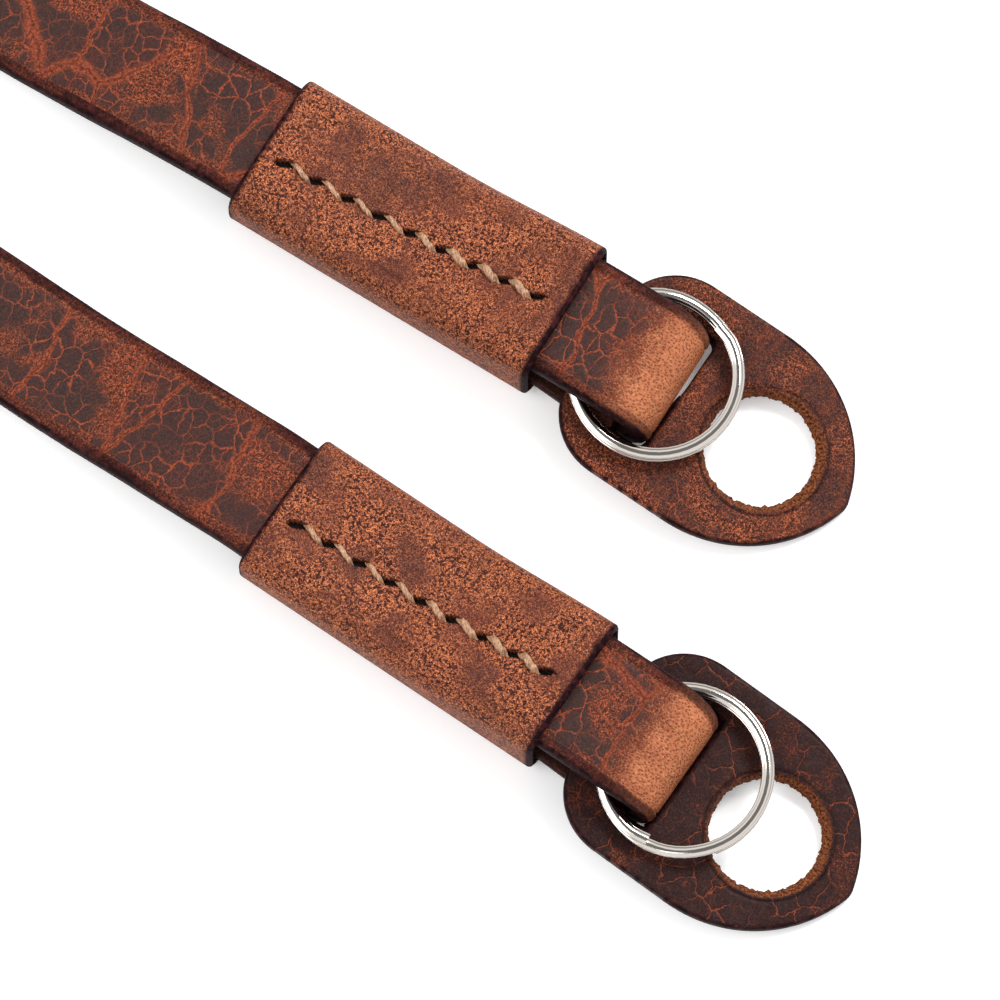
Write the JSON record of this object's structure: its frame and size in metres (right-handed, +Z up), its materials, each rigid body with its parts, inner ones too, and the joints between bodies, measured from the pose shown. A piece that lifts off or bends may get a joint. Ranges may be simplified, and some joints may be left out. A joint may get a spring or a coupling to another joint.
{
  "type": "camera neck strap",
  "caption": "Narrow leather neck strap laid out in a loop, with sewn sleeves, split rings and leather ring guards at its ends.",
  "frame": {"origin": "middle of the strap's box, on the surface it lies on", "axes": "+X along the strap towards the split rings, +Y towards the left end, +Z up"},
  "size_m": [0.4844, 0.122, 0.0121],
  "materials": {
    "strap_leather": "satin",
    "keeper_leather": "satin",
    "guard_leather": "satin",
    "ring_metal": "polished"
  },
  "bodies": {
    "root": {"strap": "strap_leather", "keeper_left": "keeper_leather", "keeper_right": "keeper_leather", "split_ring_left": "ring_metal", "split_ring_right": "ring_metal", "guard_left": "guard_leather", "guard_right": "guard_leather"}
  },
  "joints": []
}
